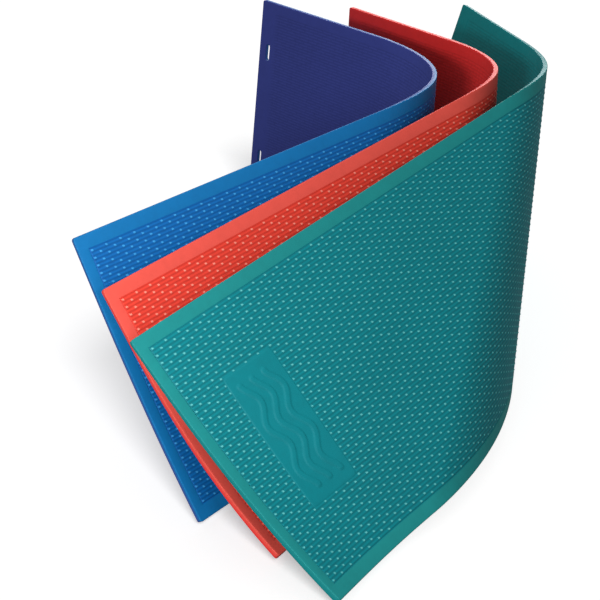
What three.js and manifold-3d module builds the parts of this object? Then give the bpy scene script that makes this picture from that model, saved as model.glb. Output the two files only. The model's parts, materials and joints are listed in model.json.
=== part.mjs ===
import * as THREE from "three";
import { mergeVertices } from "three/addons/utils/BufferGeometryUtils.js";
import Module from "manifold-3d";

// Three flexible foam exercise mats, bent round and nested, each standing on one long edge.
// Lengths are in millimetres and turns in degrees. +Z is up and the floor is z = 0.
// +X runs from the open ends of the nest towards the bends, +Y from the front flaps to the back flaps.
//
// A mat is drawn flat first: s runs along it from the front end, t runs across it from the upper long
// edge, and the textured outer face looks along -w. Fold lines cut the flat mat into strips. Each
// strip is a node that hinges on its neighbour, and together they stand in for one bending sheet.

const matLength = 1800;
const matWidth = 600;
const matThickness = 12;

// the textured field sits a little below a smooth border
const fieldFromEnd = 22;
const fieldFromEdge = 28;
const fieldDepth = 1;

// the smooth panel that stands in the field near the front end
const panelFromEnd = 107;
const panelLength = 120;
const panelFromTop = 153;
const panelWidth = 294;

// the two hanging slots near the back end
const slotLength = 48;
const slotWidth = 14;
const slotFromEnd = 30;
const slotFromEdge = 142;
const slotSegments = 10;

// half the gap at a fold, and the spare turn that the bevels leave for closing further
const foldClearance = 0.15;
const spareTurn = 4;

const bendFolds = 12;
const cornerFolds = 2;

// how far a cutter reaches past the faces it cuts, and past the edges of the mat
const cutMargin = 2;
const cutSpan = 3000;

// How each mat is bent. The bend starts and ends at these distances along the upper and lower long
// edges, and crowding above 1 brings its lower fold lines closer together near the start. The turn
// fades evenly from the start of the bend to the share endTightness at its end. The front lower
// corner flares outwards over the floor, from alongBottom on the long edge to upEnd on the short one.
// place puts the middle of the bend: heading turns it about +Z, lean tips its top towards its outer
// face, and tip raises its front end. The whole nest is then moved so that its lowest point is z = 0.
const mats = [
  {
    name: "outer_mat",
    colour: 0x0a8d8c,
    bend: {
      topFrom: 1082, topTo: 1522, bottomFrom: 312, bottomTo: 1612, crowding: 1.6,
      turn: 101.8, endTightness: 0.73,
    },
    corner: { alongBottom: 282, upEnd: 560, flare: 36.6 },
    place: { x: 221, y: 292, z: 299, heading: 74.8, lean: -2.6, tip: 2 },
  },
  {
    name: "middle_mat",
    colour: 0xe2443a,
    bend: {
      topFrom: 958, topTo: 1430, bottomFrom: 462, bottomTo: 1762, crowding: 1.54,
      turn: 108.7, endTightness: 0.84,
    },
    corner: { alongBottom: 425, upEnd: 507, flare: 39.4 },
    place: { x: 148, y: 416, z: 298, heading: 83.6, lean: 0.2, tip: 2.3 },
  },
  {
    name: "inner_mat",
    colour: 0x1260b4,
    bend: {
      topFrom: 741, topTo: 1406, bottomFrom: 323, bottomTo: 1623, crowding: 1.3,
      turn: 113.2, endTightness: 0.96,
    },
    corner: { alongBottom: 286, upEnd: 560, flare: 19.9 },
    place: { x: -5, y: 429, z: 290, heading: 84.6, lean: 2.5, tip: 2.9 },
  },
];

const halfThickness = matThickness / 2;
const foamRoughness = 0.75;
const wasm = await Module();
wasm.setup();

// joins and cuts need plain closed solids with shared vertices
function toSolid(geometry) {
  const plain = geometry.clone();
  plain.deleteAttribute("normal");
  plain.deleteAttribute("uv");
  const merged = mergeVertices(plain, 1e-4);
  return new wasm.Manifold(
    new wasm.Mesh({
      numProp: 3,
      vertProperties: new Float32Array(merged.attributes.position.array),
      triVerts: new Uint32Array(merged.index.array),
    }),
  );
}

function toGeometry(solid) {
  const mesh = solid.getMesh();
  const stride = mesh.numProp;
  const positions = new Float32Array(mesh.numVert * 3);
  for (let i = 0; i < mesh.numVert; i++) {
    positions.set(mesh.vertProperties.subarray(i * stride, i * stride + 3), i * 3);
  }
  const indexed = new THREE.BufferGeometry();
  indexed.setAttribute("position", new THREE.BufferAttribute(positions, 3));
  indexed.setIndex(new THREE.BufferAttribute(new Uint32Array(mesh.triVerts), 1));
  const geometry = indexed.toNonIndexed();
  geometry.computeVertexNormals();
  return geometry;
}

// a block between two corners, in flat mat coordinates s, t, w
function block(s0, s1, t0, t1, w0, w1) {
  const geometry = new THREE.BoxGeometry(s1 - s0, t1 - t0, w1 - w0);
  geometry.translate((s0 + s1) / 2, (t0 + t1) / 2, (w0 + w1) / 2);
  return toSolid(geometry);
}

// a slot with round ends, along t
function slotCutter(s, t) {
  const radius = slotWidth / 2;
  const reach = slotLength / 2 - radius;
  const outline = new THREE.Shape();
  outline.moveTo(s + radius, t - reach);
  outline.absarc(s, t + reach, radius, 0, Math.PI, false);
  outline.absarc(s, t - reach, radius, Math.PI, 2 * Math.PI, false);
  const geometry = new THREE.ExtrudeGeometry(outline, {
    depth: matThickness + 2 * cutMargin,
    bevelEnabled: false,
    curveSegments: slotSegments,
  });
  geometry.translate(0, 0, -halfThickness - cutMargin);
  return toSolid(geometry);
}

function flatMat() {
  const outer = -halfThickness;
  let mat = block(0, matLength, 0, matWidth, outer, halfThickness);
  let field = block(
    fieldFromEnd,
    matLength - slotFromEnd - slotWidth,
    fieldFromEdge,
    matWidth - fieldFromEdge,
    outer - cutMargin,
    outer + fieldDepth,
  );
  const panel = block(
    panelFromEnd,
    panelFromEnd + panelLength,
    panelFromTop,
    panelFromTop + panelWidth,
    outer - 2 * cutMargin,
    outer + fieldDepth + cutMargin,
  );
  field = field.subtract(panel);
  mat = mat.subtract(field);
  for (const t of [slotFromEdge, matWidth - slotFromEdge]) {
    mat = mat.subtract(slotCutter(matLength - slotFromEnd, t));
  }
  return mat;
}

// A fold is a line across the flat mat, between two points [s, t], and the turn the mat makes there
function fold(from, to, turn) {
  return { from: new THREE.Vector3(...from, 0), to: new THREE.Vector3(...to, 0), turn };
}

function bendLines({ bend }) {
  const lines = [];
  const meanTightness = (1 + bend.endTightness) / 2;
  for (let i = 0; i < bendFolds; i++) {
    const u = (i + 0.5) / bendFolds;
    const top = bend.topFrom + (bend.topTo - bend.topFrom) * u;
    const bottom = bend.bottomFrom + (bend.bottomTo - bend.bottomFrom) * u ** bend.crowding;
    const tightness = 1 + (bend.endTightness - 1) * u;
    const turn = (bend.turn * tightness) / meanTightness / bendFolds;
    lines.push(fold([top, 0], [bottom, matWidth], turn));
  }
  return lines;
}

// folds across the front lower corner, from the inside out
function cornerLines({ corner }) {
  const lines = [];
  for (let i = 0; i < cornerFolds; i++) {
    const share = 1 - (i + 0.5) / cornerFolds;
    const from = [0, matWidth - corner.upEnd * share];
    const to = [corner.alongBottom * share, matWidth];
    lines.push(fold(from, to, corner.flare / cornerFolds));
  }
  return lines;
}

// everything on one side of a fold line: side 1 is its left, towards the front end or the corner, and
// side -1 its right. The face along the fold is bevelled on the half of the thickness that closes up
// as the mat turns, so that the strips never press into each other.
function sideOf({ from, to, turn }, side, closingHalf) {
  const along = to.clone().sub(from).normalize();
  const away = new THREE.Vector3(-along.y, along.x, 0).multiplyScalar(side);
  const bevel = Math.tan(THREE.MathUtils.degToRad((turn + spareTurn) / 2));
  const reach = halfThickness + cutMargin;
  const rings = [-reach, 0, reach].map((w) => {
    const setBack = foldClearance + (w * closingHalf > 0 ? reach * bevel : 0);
    const near = from.clone().addScaledVector(away, setBack);
    const ring = [
      near.clone().addScaledVector(along, -cutSpan),
      near.clone().addScaledVector(along, cutSpan),
      near.clone().addScaledVector(along, cutSpan).addScaledVector(away, cutSpan),
      near.clone().addScaledVector(along, -cutSpan).addScaledVector(away, cutSpan),
    ];
    for (const corner of ring) corner.z = w;
    return side > 0 ? ring : ring.reverse();
  });
  return loft(rings);
}

// a closed solid through rings of four points, each anticlockwise seen from +w
function loft(rings) {
  const points = rings.flat();
  const last = (rings.length - 1) * 4;
  const faces = [
    [0, 2, 1],
    [0, 3, 2],
    [last, last + 1, last + 2],
    [last, last + 2, last + 3],
  ];
  for (let base = 0; base < last; base += 4) {
    for (let i = 0; i < 4; i++) {
      const a = base + i;
      const b = base + ((i + 1) % 4);
      faces.push([a, b, b + 4], [a, b + 4, a + 4]);
    }
  }
  const geometry = new THREE.BufferGeometry();
  geometry.setAttribute(
    "position",
    new THREE.Float32BufferAttribute(points.flatMap((p) => p.toArray()), 3),
  );
  geometry.setIndex(faces.flat());
  return toSolid(geometry);
}

// the turn about a fold line, as the pose of the strips beyond it
function foldMatrix({ from, to, turn }) {
  const axis = to.clone().sub(from).normalize();
  const there = new THREE.Matrix4().makeTranslation(from.x, from.y, 0);
  const back = new THREE.Matrix4().makeTranslation(-from.x, -from.y, 0);
  const spin = new THREE.Matrix4().makeRotationAxis(axis, -THREE.MathUtils.degToRad(turn));
  return there.multiply(spin).multiply(back);
}

// The strips of one mat in flat coordinates, each with its pose relative to the front flap and the
// fold between it and its neighbour on the front flap's side. The front flap lies between the corner
// folds and the bend, so the strips run out both ways from it.
function stripsOf(mat) {
  const bends = bendLines(mat);
  const corners = cornerLines(mat);
  const sheet = flatMat();
  const strips = [];
  const flap = sheet.intersect(sideOf(bends[0], 1, 1)).intersect(sideOf(corners[0], -1, -1));
  strips.push({ name: "front", solid: flap, pose: new THREE.Matrix4() });

  let pose = new THREE.Matrix4();
  corners.forEach((line, i) => {
    pose = pose.clone().multiply(foldMatrix(line));
    let solid = sheet.intersect(sideOf(line, 1, -1));
    const next = corners[i + 1];
    if (next) solid = solid.intersect(sideOf(next, -1, -1));
    strips.push({ name: "corner_" + (i + 1), solid, pose, line });
  });

  pose = new THREE.Matrix4();
  bends.forEach((line, i) => {
    pose = pose.clone().multiply(foldMatrix(line));
    let solid = sheet.intersect(sideOf(line, -1, 1));
    const next = bends[i + 1];
    if (next) solid = solid.intersect(sideOf(next, 1, 1));
    strips.push({ name: next ? "bend_" + (i + 1) : "back", solid, pose, line });
  });
  return strips;
}

// the pose of a mat's front flap that brings the middle strip of its bend to its place
function placeMatrix(mat, strips) {
  const { x, y, z, heading, lean, tip } = mat.place;
  const middle = strips.find((strip) => strip.name === "bend_" + bendFolds / 2);
  const { topFrom, topTo, bottomFrom, bottomTo, crowding } = mat.bend;
  const bottom = bottomFrom + (bottomTo - bottomFrom) * 0.5 ** crowding;
  const centre = ((topFrom + topTo) / 2 + bottom) / 2;

  // flat s, t, w become +X, down and +Y
  const upright = new THREE.Matrix4().makeBasis(
    new THREE.Vector3(1, 0, 0),
    new THREE.Vector3(0, 0, -1),
    new THREE.Vector3(0, 1, 0),
  );
  const turns = new THREE.Euler(
    THREE.MathUtils.degToRad(lean),
    THREE.MathUtils.degToRad(tip),
    THREE.MathUtils.degToRad(heading),
    "ZXY",
  );
  return new THREE.Matrix4()
    .makeTranslation(x, y, z)
    .multiply(new THREE.Matrix4().makeRotationFromEuler(turns))
    .multiply(upright)
    .multiply(new THREE.Matrix4().makeTranslation(-centre, -matWidth / 2, 0))
    .multiply(middle.pose.clone().invert());
}

const group = new THREE.Group();
for (const mat of mats) {
  const strips = stripsOf(mat);
  const place = placeMatrix(mat, strips);
  for (const { name, solid, pose, line } of strips) {
    const matrix = place.clone().multiply(pose);
    const geometry = toGeometry(solid).applyMatrix4(matrix);
    geometry.computeVertexNormals();
    const foam = new THREE.MeshStandardMaterial({
      color: mat.colour,
      roughness: foamRoughness,
      metalness: 0,
    });
    const mesh = new THREE.Mesh(geometry, foam);
    mesh.name = mat.name + "_" + name;
    if (line) {
      // the axis of the strip's hinge, for whoever poses the mat
      mesh.userData.hinge = {
        from: line.from.clone().applyMatrix4(matrix),
        to: line.to.clone().applyMatrix4(matrix),
        turn: line.turn,
      };
    }
    group.add(mesh);
  }
}

// the origin is the middle of the nest's footprint, on the floor
const extent = new THREE.Box3().setFromObject(group, true);
const middleOfNest = extent.getCenter(new THREE.Vector3());
group.position.set(-middleOfNest.x, -middleOfNest.y, -extent.min.z);

export default group;
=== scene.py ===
"""The looks of three nested foam exercise mats, each one moulded sheet with a woven raised pattern.

A mat is drawn flat first, in millimetres: s runs along it from the front end, t runs across it from
the upper long edge, and w through it, with the patterned outer face at the low side of w. The flat
sheet is then rolled along fan-shaped fold lines and set down in the frame, in metres.
"""

import json
import math

import bpy
import numpy as np
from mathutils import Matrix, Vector


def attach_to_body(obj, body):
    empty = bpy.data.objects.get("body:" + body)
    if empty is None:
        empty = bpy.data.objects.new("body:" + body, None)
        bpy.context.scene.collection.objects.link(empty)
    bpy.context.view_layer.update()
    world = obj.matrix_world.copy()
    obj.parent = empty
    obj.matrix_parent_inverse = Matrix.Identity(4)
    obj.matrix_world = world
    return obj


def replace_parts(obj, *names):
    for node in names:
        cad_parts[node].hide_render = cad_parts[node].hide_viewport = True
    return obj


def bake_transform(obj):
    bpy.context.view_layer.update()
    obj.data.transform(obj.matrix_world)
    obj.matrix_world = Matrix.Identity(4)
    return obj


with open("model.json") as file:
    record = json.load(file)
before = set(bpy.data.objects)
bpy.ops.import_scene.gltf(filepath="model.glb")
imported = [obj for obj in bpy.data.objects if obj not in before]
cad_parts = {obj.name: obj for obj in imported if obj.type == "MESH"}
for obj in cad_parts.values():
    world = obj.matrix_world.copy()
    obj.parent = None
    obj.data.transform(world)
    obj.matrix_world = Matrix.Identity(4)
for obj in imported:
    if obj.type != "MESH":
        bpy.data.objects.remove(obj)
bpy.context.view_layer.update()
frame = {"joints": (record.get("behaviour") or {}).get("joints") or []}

LENGTH, WIDTH, HALF = 1800.0, 600.0, 6.0
BEND_FOLDS, CORNER_FOLDS = 12, 2
FINE_BEND, FINE_CORNER = 192, 48

# the woven pattern: rows of ribs, with a dot at every other crossing of a row and a column
COLUMN_PITCH, COLUMNS, FIRST_COLUMN = 15.54, 111, 27.2
ROW_PITCH, ROWS = 7.83, 69
FIRST_ROW = WIDTH / 2 - ROW_PITCH * (ROWS - 1) / 2
DOT_FLAT, DOT_FOOT, DOT_FOOT_ACROSS = 1.3, 3.0, 2.8
FIELD_FLOOR, GROOVE, RIB, DOT = -1.0, -1.9, 0.7, 1.8
SKIRT, WEAVE_FADE = 1.7, 2.0

# the faint print of the pattern on the inner face
PRINT_FLOOR, PRINT_RIB, PRINT_DOT = -0.45, 0.3, -0.35

# the patterned field inside its smooth border, and the smooth panel inside the field
FIELD_S0, FIELD_S1, FIELD_T0, FIELD_T1 = 22.0, 1756.0, 28.0, 572.0
PANEL_S0, PANEL_S1, PANEL_T0, PANEL_T1 = 107.0, 227.0, 153.0, 447.0
PANEL_CORNER, PANEL_BEVEL = 8.0, 1.5

# three raised waves across the panel
WAVE_GAP, WAVE_SWING, WAVE_LENGTH, WAVE_REACH = 30.0, 10.0, 98.0, 116.0
WAVE_HALF, WAVE_BEVEL, WAVE_HEIGHT = 6.5, 1.8, 1.5

SLOT_S, SLOTS_T, SLOT_RADIUS, SLOT_REACH = 1770.0, (142.0, 458.0), 7.0, 17.0
EDGE_ROUND, CORNER_ROUND = 1.8, 6.0

# the grid: lines closer than the least gap are dropped, and lines on the panel are no further
# apart than a step
LEAST_GAP_S, LEAST_GAP_T = 0.2, 0.3
PANEL_STEP_S, PANEL_STEP_T = 2.0, 2.9
SLOT_WALL = SLOT_RADIUS * 1.2

# foam: how much painted highlight lightens the ribs and painted shade darkens the furrows, and the
# tones they are mixed with
RIB_PAINTED_LIGHT, FURROW_PAINTED_SHADE, FURROW_SHADE_TONE, CLOUD_TONE = 0.3, 0.7, 0.35, 0.72
CLOUD_SCALE, MOTTLE_SCALE, GRAIN_SCALE = 5.0, 60.0, 900.0
ROUGH_LEAST, ROUGH_SPREAD, SHINE = 0.50, 0.16, 0.2
GRAIN_STRENGTH, GRAIN_HEIGHT = 0.12, 0.0004

# studio, in metres, watts and degrees: each lamp has a place, a target, a size and a power
LAMPS = {
    "key": ((-0.6, -1.5, 1.0), (0.0, -0.3, 0.35), 0.35, 15),
    "top": ((-0.2, 1.1, 3.8), (0.0, 0.0, 0.3), 0.6, 47),
    "fill": ((1.1, -3.0, 1.9), (0.0, 0.0, 0.3), 0.8, 17),
    "back": ((0.9, 3.4, 1.7), (0.0, 0.2, 0.3), 1.2, 60),
}
FLOOR_LAMP_PLACE, FLOOR_LAMP_STRENGTH, FLOOR_LAMP_ANGLE = (0.5, -2.2, 2.2), 1.75, 18
SURROUND_ON_MATS, SURROUND_SEEN = 0.28, 1.0
FLOOR_HALF, FLOOR_GRAIN, FLOOR_TONES = 30.0, 40.0, (0.90, 0.92)
FLOOR_TONE_ON_MATS, FLOOR_GLOW = 0.45, 0.46
CAMERA_PLACE, CAMERA_TILT = (-0.0852, -2.4525, 1.5217), 61
CAMERA_LENS, CAMERA_SENSOR = 72, 36

# each mat's dot colour is a lighter tint that paints the highlight on the dot tops
# each mat's inside colour is a darker tint that paints the shade on the inner face
MATS = {
    "outer_mat": {
        "top": (1082, 1522), "bottom": (312, 1612), "crowding": 1.6, "turn": 101.8,
        "tightness": 0.73, "corner": (282, 560, 36.6), "heading": (74.8, -2.6, 2.0),
        "skin": (0.0, 0.205, 0.240), "dot": (0.14, 0.58, 0.57),
        "inside": (0.000, 0.200, 0.215), "edge": (0.010, 0.245, 0.245),
    },
    "middle_mat": {
        "top": (958, 1430), "bottom": (462, 1762), "crowding": 1.54, "turn": 108.7,
        "tightness": 0.84, "corner": (425, 507, 39.4), "heading": (83.6, 0.2, 2.3),
        "skin": (0.80, 0.050, 0.030), "dot": (1.0, 0.36, 0.27),
        "inside": (0.80, 0.030, 0.028), "edge": (0.84, 0.095, 0.070),
    },
    "inner_mat": {
        "top": (741, 1406), "bottom": (323, 1623), "crowding": 1.3, "turn": 113.2,
        "tightness": 0.96, "corner": (286, 560, 19.9), "heading": (84.6, 2.5, 2.9),
        "skin": (0.002, 0.135, 0.45), "dot": (0.06, 0.42, 0.85),
        "inside": (0.042, 0.060, 0.300), "edge": (0.004, 0.175, 0.46),
    },
}


def turn_about(axis, degrees):
    """3x3 turn about an axis."""
    x, y, z = np.asarray(axis, float) / np.linalg.norm(axis)
    cross = np.array([[0, -z, y], [z, 0, -x], [-y, x, 0]])
    a = math.radians(degrees)
    return np.eye(3) + math.sin(a) * cross + (1 - math.cos(a)) * cross @ cross


def fold(start, end, degrees):
    """4x4 turn about the fold line between two flat points."""
    p, q = np.array([*start, 0.0]), np.array([*end, 0.0])
    matrix = np.eye(4)
    matrix[:3, :3] = turn_about(q - p, -degrees)
    matrix[:3, 3] = p - matrix[:3, :3] @ p
    return matrix


def bend_line(mat, u):
    """The line across the mat at share u of the bend."""
    top = mat["top"][0] + (mat["top"][1] - mat["top"][0]) * u
    span = mat["bottom"][1] - mat["bottom"][0]
    return (top, 0.0), (mat["bottom"][0] + span * u ** mat["crowding"], WIDTH)


def corner_line(mat, share):
    """The line across the lower front corner at a share of the flared triangle."""
    along, up, _ = mat["corner"]
    return (0.0, WIDTH - up * share), (along * share, WIDTH)


def side(line, s, t):
    """Positive towards the back end of the mat, and for a corner line away from the corner."""
    (s0, t0), (s1, t1) = line
    return (s - s0) * (t1 - t0) - (t - t0) * (s1 - s0)


def middle_of(line):
    """The point halfway along a line."""
    return (np.array(line[0]) + np.array(line[1])) / 2


def plates(mat, name):
    """The poses of the fine strips of a bent mat in the frame, and the lines between them."""
    bends = [bend_line(mat, (i + 0.5) / FINE_BEND) for i in range(FINE_BEND)]
    corners = [corner_line(mat, 1 - (i + 0.5) / FINE_CORNER) for i in range(FINE_CORNER)]
    mean = (1 + mat["tightness"]) / 2
    poses = [np.eye(4)]
    for i, line in enumerate(bends):
        u = (i + 0.5) / FINE_BEND
        share = (1 + (mat["tightness"] - 1) * u) / mean / FINE_BEND
        poses.append(poses[-1] @ fold(*line, mat["turn"] * share))
    corner_poses = [np.eye(4)]
    for line in corners:
        corner_poses.append(corner_poses[-1] @ fold(*line, mat["corner"][2] / FINE_CORNER))
    heading, lean, tip = mat["heading"]
    stand = np.array([[1, 0, 0], [0, 0, 1], [0, -1, 0]], float)
    rotation = (
        turn_about((0, 0, 1), heading)
        @ turn_about((1, 0, 0), lean)
        @ turn_about((0, 1, 0), tip)
        @ stand
    )
    # the middle strip is where the hinge nearest to it says
    near = BEND_FOLDS // 2
    joint = "nest_opening" if name == "outer_mat" else f"{name}_fold_{near}"
    hinge = next(j for j in frame["joints"] if j["name"] == joint)
    on_hinge = np.array([*middle_of(bend_line(mat, (near - 0.5) / BEND_FOLDS)), 0.0])
    placed = np.eye(4)
    placed[:3, :3] = rotation
    placed[:3, 3] = np.array(hinge["pos_m"]) * 1000 - rotation @ on_hinge
    start = placed @ np.linalg.inv(poses[FINE_BEND // 2])
    return start @ np.array(poses + corner_poses[1:]), bends, corners


def roll(rolled, s, t, w):
    """World points in metres of flat points."""
    poses, bends, corners = rolled
    passed = np.zeros(s.shape, int)
    for line in bends:
        passed += side(line, s, t) > 0
    cornered = np.zeros(s.shape, int)
    for line in corners:
        cornered += side(line, s, t) < 0
    index = np.where(cornered > 0, FINE_BEND + cornered, passed)
    flat = np.stack([s, t, w, np.ones_like(s)], -1)
    return np.einsum("...ij,...j->...i", poses[index], flat)[..., :3] / 1000


def with_filled_gaps(lines, low, high, step):
    """Sorted lines, with more added between low and high so that none are over step apart."""
    lines = sorted(lines)
    more = []
    for a, b in zip(lines, lines[1:]):
        if b > low and a < high:
            count = math.ceil((b - a) / step)
            more += [a + (b - a) * i / count for i in range(1, count)]
    return sorted(lines + more)


def without_doubles(firm, loose, least):
    """Firm lines, and those loose ones that aren't right next to a firm one."""
    kept = list(firm)
    for x in loose:
        if min(abs(x - f) for f in kept) >= least:
            kept.append(x)
    return sorted(kept)


def grid_lines():
    """Where the grid of a flat sheet has its lines, along s and along t."""
    edge = [0, 0.25, 0.8, 1.8, 4, CORNER_ROUND]
    columns = [FIRST_COLUMN + COLUMN_PITCH * c for c in range(COLUMNS)]
    s = edge + [LENGTH - x for x in edge]
    s += [FIELD_S0 + x for x in (-0.5, 0.5, 1.5)] + [FIELD_S1 - x for x in (-0.5, 0.5, 1.3)]
    s += [c + x for c in columns for x in (-DOT_FOOT, -DOT_FLAT, DOT_FLAT, DOT_FOOT)]
    s += [SLOT_S + SLOT_RADIUS * x for x in (-1, -0.5, 0, 0.5, 1)]
    panel = [PANEL_S0, PANEL_S0 + PANEL_BEVEL, PANEL_S1 - PANEL_BEVEL, PANEL_S1]
    s = without_doubles(s, panel, LEAST_GAP_S)
    s = with_filled_gaps(s, PANEL_S0, PANEL_S1, PANEL_STEP_S)
    rows = [FIRST_ROW + ROW_PITCH * r for r in range(ROWS)]
    t = edge + [WIDTH - x for x in edge]
    t += [FIELD_T0 + x for x in (-0.5, 0.5, 2)] + [FIELD_T1 - x for x in (-0.5, 0.5, 2)]
    t += [r + x for r in rows for x in (-DOT_FOOT_ACROSS, 0, DOT_FOOT_ACROSS)]
    ends = [
        middle + way * (SLOT_REACH + SLOT_RADIUS * x)
        for middle in SLOTS_T for way in (-1, 1) for x in (0, 0.5, 1)
    ]
    t = without_doubles(t, ends + [PANEL_T0, PANEL_T1], LEAST_GAP_T)
    t = with_filled_gaps(t, PANEL_T0, PANEL_T1, PANEL_STEP_T)
    return np.array(s), np.array(t)


def pattern(s, t):
    """Share of the way up a dot and up a rib at each point."""
    column = np.clip(np.rint((s - FIRST_COLUMN) / COLUMN_PITCH), 0, COLUMNS - 1)
    row = np.clip(np.rint((t - FIRST_ROW) / ROW_PITCH), 0, ROWS - 1)
    along = np.abs(s - FIRST_COLUMN - COLUMN_PITCH * column)
    across = np.abs(t - FIRST_ROW - ROW_PITCH * row)
    a = np.interp(along, [DOT_FLAT, DOT_FOOT], [1, 0])
    b = np.interp(across, [0, DOT_FOOT_ACROSS], [1, 0])
    even = (column + row) % 2 == 0
    return np.where(even, a * b, 0), b


def panel_distance(s, t):
    """Distance outside the round-cornered panel, negative inside it."""
    ds = np.abs(s - (PANEL_S0 + PANEL_S1) / 2) - (PANEL_S1 - PANEL_S0) / 2 + PANEL_CORNER
    dt = np.abs(t - (PANEL_T0 + PANEL_T1) / 2) - (PANEL_T1 - PANEL_T0) / 2 + PANEL_CORNER
    outside = np.hypot(np.maximum(ds, 0), np.maximum(dt, 0))
    return outside + np.minimum(np.maximum(ds, dt), 0) - PANEL_CORNER


def waves(s, t):
    """Share of the way up the three raised waves on the panel."""
    x = s - (PANEL_S0 + PANEL_S1) / 2
    y = t - (PANEL_T0 + PANEL_T1) / 2
    best = np.full(s.shape, 1e9)
    phase = 2 * math.pi / WAVE_LENGTH
    for k in (-1, 0, 1):
        inside = np.clip(y, -WAVE_REACH, WAVE_REACH)
        centre = k * WAVE_GAP + WAVE_SWING * np.sin(phase * inside)
        slope = WAVE_SWING * phase * np.cos(phase * inside)
        across = (x - centre) / np.sqrt(1 + slope**2)
        best = np.minimum(best, np.hypot(across, y - inside))
    return np.interp(best, [WAVE_HALF - WAVE_BEVEL, WAVE_HALF], [1, 0])


def heights(s, t):
    """Heights of both faces over the flat skin, and the pairs of shares that colour them."""
    depth = np.minimum(
        np.minimum(s - FIELD_S0, FIELD_S1 - s), np.minimum(t - FIELD_T0, FIELD_T1 - t)
    )
    dot, rib = pattern(s, t)
    panel = panel_distance(s, t)
    inside = depth > SKIRT
    woven = inside * np.clip(panel / WEAVE_FADE, 0, 1)
    plateau = np.interp(panel, [-PANEL_BEVEL, 0], [1, 0])
    outer = np.interp(depth, [-0.5, 0.5, 2.0], [0, GROOVE, FIELD_FLOOR])
    outer = outer + woven * np.maximum(RIB * rib, DOT * dot)
    outer = outer * (1 - plateau) + WAVE_HEIGHT * waves(s, t) * plateau
    inner = np.interp(depth, [-0.5, 0.5], [0, PRINT_FLOOR])
    inner = inner + inside * (PRINT_RIB * rib + PRINT_DOT * dot)
    return {
        "outer": outer,
        "inner": inner,
        # the dot and rib shares paint the highlight on dots and ribs and the shade in the furrows
        # and print dips
        "dot": (woven * dot, np.zeros(s.shape)),
        "rib": (woven * (rib - 0.5), inside * (0.6 * rib - 0.3 - 0.5 * dot)),
        "field": (np.interp(depth, [-0.5, 0.5], [0, 1]),) * 2,
    }


def flat_sheet(lines_s, lines_t):
    """Flat points of both faces, with the shape attributes, and the slots' missing quads."""
    s, t = np.meshgrid(lines_s, lines_t, indexing="ij")
    shape = heights(s, t)
    edge = np.minimum(np.minimum(s, LENGTH - s), np.minimum(t, WIDTH - t))
    short = np.clip(EDGE_ROUND - edge, 0, EDGE_ROUND)
    drop = EDGE_ROUND - np.sqrt(EDGE_ROUND**2 - short**2)
    w_outer = -HALF - shape["outer"] + drop
    w_inner = HALF + shape["inner"] - drop
    ps, pt = s.copy(), t.copy()
    # round the mat's corners in plan
    for s0, way_s in ((CORNER_ROUND, -1), (LENGTH - CORNER_ROUND, 1)):
        for t0, way_t in ((CORNER_ROUND, -1), (WIDTH - CORNER_ROUND, 1)):
            a = np.clip(way_s * (s - s0) / CORNER_ROUND, 0, 1)
            b = np.clip(way_t * (t - t0) / CORNER_ROUND, 0, 1)
            there = (a > 0) & (b > 0)
            ps = np.where(there, s0 + way_s * CORNER_ROUND * a * np.sqrt(1 - b**2 / 2), ps)
            pt = np.where(there, t0 + way_t * CORNER_ROUND * b * np.sqrt(1 - a**2 / 2), pt)
    # cut the slots and round their ends
    centre_s = (s[:-1, :-1] + s[1:, 1:]) / 2
    centre_t = (t[:-1, :-1] + t[1:, 1:]) / 2
    hole = np.zeros(centre_s.shape, bool)
    for middle in SLOTS_T:
        reach = SLOT_REACH + SLOT_RADIUS
        hole |= (np.abs(centre_s - SLOT_S) < SLOT_RADIUS) & (np.abs(centre_t - middle) < reach)
        a = (s - SLOT_S) / SLOT_RADIUS
        way = np.sign(t - middle)
        b = (np.abs(t - middle) - SLOT_REACH) / SLOT_RADIUS
        there = (np.abs(a) <= 1.001) & (b > 0) & (b < 1.05)
        a, b = np.clip(a, -1, 1), np.clip(b, 0, 1)
        round_t = middle + way * (SLOT_REACH + SLOT_RADIUS * b * np.sqrt(1 - a**2 / 2))
        ps = np.where(there, SLOT_S + SLOT_RADIUS * a * np.sqrt(1 - b**2 / 2), ps)
        pt = np.where(there, round_t, pt)
    return {
        "s": ps, "t": pt, "outer": w_outer, "inner": w_inner, "hole": hole,
        "shares": {key: shape[key] for key in ("dot", "rib", "field")},
        "centre_s": centre_s, "centre_t": centre_t,
    }


def shares_of(mat, s, t):
    """Which piece each quad belongs to: -2 tip, -1 corner, 0 front, 1 to 12 folds, 13 back."""
    piece = np.zeros(s.shape, int)
    for k in range(BEND_FOLDS + 1):
        piece += side(bend_line(mat, k / BEND_FOLDS), s, t) > 0
    for k in range(CORNER_FOLDS):
        piece -= side(corner_line(mat, 1 - k / CORNER_FOLDS), s, t) < 0
    return piece


def face_loops(mask):
    """Quads of both faces where mask is true, as index arrays into the grid of points."""
    i, j = np.nonzero(mask)
    nt = mask.shape[1] + 1
    corner = i * nt + j
    far = corner + nt
    outer = np.stack([corner, corner + 1, far + 1, far], -1)
    inner = np.stack([corner, far, far + 1, corner + 1], -1)
    return outer, inner


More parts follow.
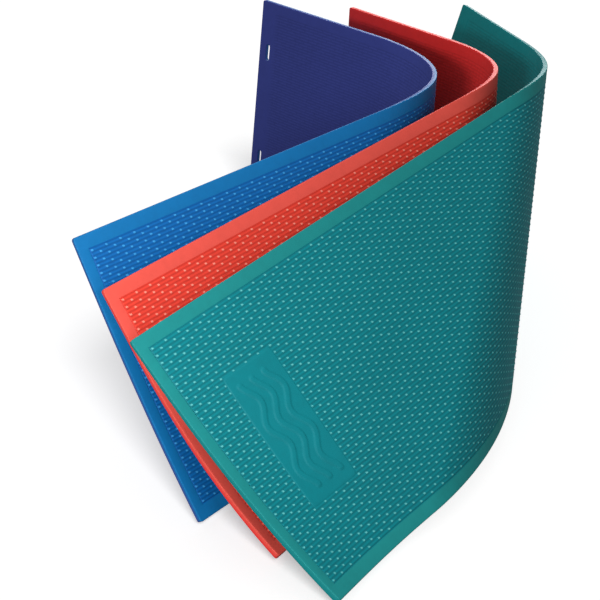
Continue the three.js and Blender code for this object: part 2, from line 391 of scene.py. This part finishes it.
def wall_loops(mask, material):
    """Walls round a mask, as (outer, outer, inner, inner) grid indices, and which are cuts.

    material is true wherever the mat has foam, so a wall between foam and foam is a cut."""
    nt = mask.shape[1] + 1
    padded = np.pad(mask, 1)
    foam = np.pad(material, 1)
    walls, cuts = [], []
    ways = (
        ((-1, 0), (0, 0), (0, 1)),
        ((0, 1), (0, 1), (1, 1)),
        ((1, 0), (1, 1), (1, 0)),
        ((0, -1), (1, 0), (0, 0)),
    )
    for (di, dj), (ui, uj), (vi, vj) in ways:
        beyond = padded[1 + di : padded.shape[0] - 1 + di, 1 + dj : padded.shape[1] - 1 + dj]
        i, j = np.nonzero(mask & ~beyond)
        u = (i + ui) * nt + j + uj
        v = (i + vi) * nt + j + vj
        walls.append(np.stack([v, u, u, v], -1))
        cuts.append(foam[i + 1 + di, j + 1 + dj])
    return np.concatenate(walls), np.concatenate(cuts)


def quad_normals(points, quads):
    """Area-weighted normals of quads."""
    a, b, c, d = (points[quads[:, k]] for k in range(4))
    return np.cross(c - a, d - b)


def unit(vectors):
    """The vectors at length 1."""
    return vectors / np.maximum(np.linalg.norm(vectors, axis=-1, keepdims=True), 1e-12)


def add_node(tree, kind, place=(0, 0), **inputs):
    """A new node, with plain values for its inputs."""
    made = tree.nodes.new(kind)
    made.location = place
    for key, value in inputs.items():
        made.inputs[key.replace("_", " ")].default_value = value
    return made


def foam(name, mat):
    """A matte foam with a moulded skin, with painted highlight on the dots and ribs and painted
    shade in the furrows and on the inner face.
    """
    material = bpy.data.materials.new(name)
    material.use_nodes = True
    tree = material.node_tree
    tree.nodes.clear()
    link = tree.links.new
    out = add_node(tree, "ShaderNodeOutputMaterial", (900, 0))
    skin = add_node(tree, "ShaderNodeBsdfPrincipled", (650, 0))
    link(skin.outputs["BSDF"], out.inputs["Surface"])

    def attribute(which):
        made = add_node(tree, "ShaderNodeAttribute", (-900, 0))
        made.attribute_name = which
        return made.outputs

    def mixed(factor, first, second, blend="MIX"):
        made = tree.nodes.new("ShaderNodeMix")
        made.data_type = "RGBA"
        made.blend_type = blend
        made.clamp_factor = True
        for socket, value in (("Factor", factor), ("A", first), ("B", second)):
            target = [x for x in made.inputs if x.name == socket and x.enabled][0]
            if isinstance(value, (tuple, list)):
                target.default_value = (*value, 1) if len(value) == 3 else value
            elif isinstance(value, (int, float)):
                target.default_value = value
            else:
                link(value, target)
        return [x for x in made.outputs if x.enabled][0]

    def maths(operation, first, second=0.0):
        made = tree.nodes.new("ShaderNodeMath")
        made.operation = operation
        for index, value in enumerate((first, second)):
            if isinstance(value, (int, float)):
                made.inputs[index].default_value = value
            else:
                link(value, made.inputs[index])
        return made.outputs[0]

    flat = attribute("flat")["Vector"]
    dot = attribute("dot")["Fac"]
    rib = attribute("rib")["Fac"]
    inner = attribute("inner")["Fac"]
    field = attribute("field")["Fac"]

    def noise(scale, detail):
        made = add_node(tree, "ShaderNodeTexNoise", (-600, 0), Scale=scale, Detail=detail)
        link(flat, made.inputs["Vector"])
        return made.outputs["Fac"]

    clouds = noise(CLOUD_SCALE, 3.0)
    grain = noise(GRAIN_SCALE, 2.0)
    mottle = noise(MOTTLE_SCALE, 3.0)
    face = mixed(field, mat["edge"], mat["skin"])
    # painted shade: the inner face takes the darker inside colour
    face = mixed(inner, face, mat["inside"])
    # painted highlight makes the ribs a little lighter than the field, and painted shade makes the
    # furrows between them darker
    lighter = maths("MULTIPLY", maths("MAXIMUM", rib, 0.0), RIB_PAINTED_LIGHT)
    face = mixed(lighter, face, (1, 1, 1), "SOFT_LIGHT")
    furrow = maths("MAXIMUM", maths("MULTIPLY", rib, -1.0), 0.0)
    darker = maths("MULTIPLY", furrow, FURROW_PAINTED_SHADE)
    face = mixed(darker, face, (FURROW_SHADE_TONE,) * 3, "MULTIPLY")
    # painted highlight: the dot tops take the lighter dot colour
    face = mixed(dot, face, mat["dot"])
    cloud_share = maths("MULTIPLY", maths("SUBTRACT", clouds, 0.35), 0.5)
    face = mixed(cloud_share, face, (CLOUD_TONE,) * 3, "MULTIPLY")
    mottle_share = maths("MULTIPLY", maths("SUBTRACT", mottle, 0.4), 0.7)
    face = mixed(mottle_share, face, (CLOUD_TONE,) * 3, "MULTIPLY")
    link(face, skin.inputs["Base Color"])
    rough = maths("ADD", ROUGH_LEAST, maths("MULTIPLY", mottle, ROUGH_SPREAD))
    link(rough, skin.inputs["Roughness"])
    skin.inputs["Specular IOR Level"].default_value = SHINE
    bump = add_node(
        tree, "ShaderNodeBump", (400, -300), Strength=GRAIN_STRENGTH, Distance=GRAIN_HEIGHT
    )
    link(maths("ADD", grain, maths("MULTIPLY", mottle, 0.8)), bump.inputs["Height"])
    link(bump.outputs["Normal"], skin.inputs["Normal"])
    return material


def build_mat(name, mat, sheet):
    """The pieces of one mat: the flat ends ride on their bodies, and the rolls stay fixed where
    they lie.
    """
    rolled = plates(mat, name)
    shape = sheet["s"].shape
    count = shape[0] * shape[1]
    s, t = sheet["s"].ravel(), sheet["t"].ravel()
    flat_s, flat_t = np.concatenate([s, s]), np.concatenate([t, t])
    flat_w = np.concatenate([sheet["outer"].ravel(), sheet["inner"].ravel()])
    points = roll(rolled, flat_s, flat_t, flat_w)
    flat = np.stack([flat_s, flat_t, flat_w], -1) / 1000
    values = {
        key: np.concatenate([face.ravel() for face in pair])
        for key, pair in sheet["shares"].items()
    }
    values["inner"] = np.concatenate([np.zeros(count), np.ones(count)])
    solid = ~sheet["hole"]

    # smooth normals come from the whole sheet, so that pieces meet without a seam
    outer, inner = face_loops(solid)
    walls, _ = wall_loops(solid, solid)
    walls = walls + np.array([0, 0, count, count])
    around = np.concatenate([outer, inner + count])
    rim = walls[np.abs(flat_s[walls[:, 0]] - SLOT_S) > SLOT_WALL]
    around = np.concatenate([around, rim])
    normals = np.zeros((2 * count, 3))
    weight = quad_normals(points, around)
    for k in range(4):
        for axis in range(3):
            normals[:, axis] += np.bincount(around[:, k], weight[:, axis], 2 * count)
    normals = unit(normals)

    material = foam(name + "_foam", mat)
    owner = shares_of(mat, sheet["centre_s"], sheet["centre_t"])
    for k in range(-CORNER_FOLDS, BEND_FOLDS + 2):
        mask = (owner == k) & solid
        outer, inner = face_loops(mask)
        walls, cuts = wall_loops(mask, solid)
        walls = walls + np.array([0, 0, count, count])
        quads = np.concatenate([outer, inner + count, walls])
        slot_wall = np.abs(flat_s[walls[:, 0]] - SLOT_S) < SLOT_WALL
        sharp = np.concatenate([np.zeros(2 * len(outer), bool), cuts | slot_wall])
        used = np.unique(quads)
        renumber = np.zeros(2 * count, int)
        renumber[used] = np.arange(len(used))
        mesh = bpy.data.meshes.new(name)
        mesh.vertices.add(len(used))
        mesh.vertices.foreach_set("co", points[used].astype(np.float32).ravel())
        mesh.loops.add(quads.size)
        mesh.loops.foreach_set("vertex_index", renumber[quads].astype(np.int32).ravel())
        mesh.polygons.add(len(quads))
        starts = np.arange(0, quads.size, 4, dtype=np.int32)
        mesh.polygons.foreach_set("loop_start", starts)
        mesh.update(calc_edges=True)
        mesh.validate()
        for key, value in values.items():
            layer = mesh.attributes.new(key, "FLOAT", "POINT")
            layer.data.foreach_set("value", value[used].astype(np.float32))
        layer = mesh.attributes.new("flat", "FLOAT_VECTOR", "POINT")
        layer.data.foreach_set("vector", flat[used].astype(np.float32).ravel())
        loop_normals = normals[quads]
        own = unit(quad_normals(points, quads[sharp]))
        loop_normals[sharp] = own[:, None, :]
        mesh.normals_split_custom_set(loop_normals.reshape(-1, 3).tolist())
        mesh.materials.append(material)
        piece = bpy.data.objects.new(piece_name(name, k), mesh)
        bpy.context.scene.collection.objects.link(piece)
        attach(piece, name, mat, k, rolled)


def piece_name(name, k):
    """The name of share k of a mat, as shares_of numbers them."""
    special = {-2: "tip", -1: "corner_roll", 0: "front_sheet", BEND_FOLDS + 1: "back_sheet"}
    return f"{name}_{special.get(k, f'roll_{k}')}"


def attach(piece, name, mat, k, rolled):
    """Rides the flat ends of a mat on their strips, and leaves each roll fixed where it lies, in
    place of the strips at either side.
    """
    strips = [name + "_front"] + [f"{name}_bend_{i}" for i in range(1, BEND_FOLDS)]
    strips.append(name + "_back")
    if k == 0:
        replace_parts(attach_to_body(piece, strips[0]), strips[0])
        return
    if k == BEND_FOLDS + 1:
        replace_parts(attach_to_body(piece, strips[-1]), strips[-1])
        return
    if k > 0:
        line = bend_line(mat, (k - 0.5) / BEND_FOLDS)
        limits = [bend_line(mat, (k - 1) / BEND_FOLDS), bend_line(mat, k / BEND_FOLDS)]
        first, second = strips[k - 1], strips[k]
    else:
        line = corner_line(mat, 1 - (-k - 0.5) / CORNER_FOLDS)
        limits = [corner_line(mat, 1 - (-k - 1) / CORNER_FOLDS)]
        first = name + ("_front" if k == -1 else "_corner_1")
        second = f"{name}_corner_{-k}"
    (s0, t0), (s1, t1) = line
    along = np.array([s1 - s0, t1 - t0])
    away = np.array([along[1], -along[0]]) / np.linalg.norm(along)
    away = away if k > 0 else -away
    gaps = [abs(np.dot(np.subtract(p, line[0]), away)) for limit in limits for p in limit]
    reach = max(0.98 * min(gaps), 0.6 * sum(gaps) / len(gaps))
    middle = middle_of(line)
    ends = np.array([middle - reach * away, middle + reach * away])
    start, end = roll(rolled, ends[:, 0], ends[:, 1], np.zeros(2))
    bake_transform(piece)
    stood_for = [x for x in (first, second) if x not in (strips[0], strips[-1])]
    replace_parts(piece, *stood_for)


def aim(thing, target):
    """Turns a lamp towards a point."""
    thing.rotation_euler = (Vector(target) - thing.location).to_track_quat("-Z", "Y").to_euler()


def area_light(name, place, target, size, power, lit):
    """A soft square lamp that the lens can't see. It lights what the group lit allows."""
    data = bpy.data.lights.new(name, "AREA")
    data.shape = "RECTANGLE"
    data.size = data.size_y = size
    data.energy = power
    lamp = bpy.data.objects.new(name, data)
    lamp.location = place
    lamp.visible_camera = False
    aim(lamp, target)
    bpy.context.scene.collection.objects.link(lamp)
    lamp.light_linking.receiver_collection = lit


def floor_lamp(floor):
    """A wide lamp that whitens the floor alone, so that the mats leave a soft shadow on it."""
    data = bpy.data.lights.new("floor_lamp", "SUN")
    data.energy = FLOOR_LAMP_STRENGTH
    data.angle = math.radians(FLOOR_LAMP_ANGLE)
    lamp = bpy.data.objects.new("floor_lamp", data)
    lamp.location = FLOOR_LAMP_PLACE
    aim(lamp, (0, 0, 0))
    bpy.context.scene.collection.objects.link(lamp)
    lamp.light_linking.receiver_collection = linked_to(floor, "INCLUDE")


def linked_to(thing, state):
    """A group for a lamp that lights only this thing, or all but this thing."""
    group = bpy.data.collections.new(state.lower())
    group.objects.link(thing)
    group.collection_objects[0].light_linking.link_state = state
    return group


def studio():
    """A plain pale floor, a soft white surround and soft lamps."""
    scene = bpy.context.scene
    world = bpy.data.worlds.new("surround")
    world.use_nodes = True
    tree = world.node_tree
    background = tree.nodes["Background"]
    # the lens sees a white surround, and the mats get a dimmer one
    path = add_node(tree, "ShaderNodeLightPath", (-600, 0))
    seen = tree.nodes.new("ShaderNodeMapRange")
    seen.inputs["To Min"].default_value = SURROUND_ON_MATS
    seen.inputs["To Max"].default_value = SURROUND_SEEN
    tree.links.new(path.outputs["Is Camera Ray"], seen.inputs["Value"])
    tree.links.new(seen.outputs["Result"], background.inputs["Strength"])
    background.inputs["Color"].default_value = (1, 1, 1, 1)
    scene.world = world
    mesh = bpy.data.meshes.new("floor")
    half = FLOOR_HALF
    corners = [(-half, -half, 0), (half, -half, 0), (half, half, 0), (-half, half, 0)]
    mesh.from_pydata(corners, [], [(0, 1, 2, 3)])
    floor = bpy.data.objects.new("floor", mesh)
    scene.collection.objects.link(floor)
    paint = bpy.data.materials.new("floor_paint")
    paint.use_nodes = True
    tree = paint.node_tree
    shader = tree.nodes["Principled BSDF"]
    shader.inputs["Roughness"].default_value = 0.9
    shader.inputs["Specular IOR Level"].default_value = 0.0
    grain = add_node(tree, "ShaderNodeTexNoise", (-900, 0), Scale=FLOOR_GRAIN, Detail=2.0)
    ramp = tree.nodes.new("ShaderNodeValToRGB")
    for element, tone in zip(ramp.color_ramp.elements, FLOOR_TONES):
        element.color = (tone, tone, tone, 1)
    tree.links.new(grain.outputs["Fac"], ramp.inputs["Fac"])
    path = add_node(tree, "ShaderNodeLightPath", (-900, 300))
    # the floor looks white to the lens and throws back less light than it shows
    choice = tree.nodes.new("ShaderNodeMix")
    choice.data_type = "RGBA"
    factor, first, second = (choice.inputs[k] for k in (0, 6, 7))
    first.default_value = (*(FLOOR_TONE_ON_MATS,) * 3, 1)
    tree.links.new(path.outputs["Is Camera Ray"], factor)
    tree.links.new(ramp.outputs["Color"], second)
    tree.links.new(choice.outputs[2], shader.inputs["Base Color"])
    glow = tree.nodes.new("ShaderNodeMath")
    glow.operation = "MULTIPLY"
    glow.inputs[1].default_value = FLOOR_GLOW
    tree.links.new(path.outputs["Is Camera Ray"], glow.inputs[0])
    tree.links.new(glow.outputs[0], shader.inputs["Emission Strength"])
    shader.inputs["Emission Color"].default_value = (1, 1, 1, 1)
    mesh.materials.append(paint)
    for name, (place, target, size, power) in LAMPS.items():
        area_light(name, place, target, size, power, linked_to(floor, "EXCLUDE"))
    floor_lamp(floor)
    scene.view_settings.view_transform = "Standard"


def photo_camera():
    """The camera at the angle that shows the front flaps and the open end of the nest."""
    data = bpy.data.cameras.new("camera")
    data.lens = CAMERA_LENS
    data.sensor_width = CAMERA_SENSOR
    camera = bpy.data.objects.new("camera", data)
    camera.location = CAMERA_PLACE
    camera.rotation_euler = (math.radians(CAMERA_TILT), 0, 0)
    bpy.context.scene.collection.objects.link(camera)
    bpy.context.scene.camera = camera


sheet = flat_sheet(*grid_lines())
for mat_name, mat_shape in MATS.items():
    build_mat(mat_name, mat_shape, sheet)
studio()
photo_camera()

bpy.context.view_layer.update()
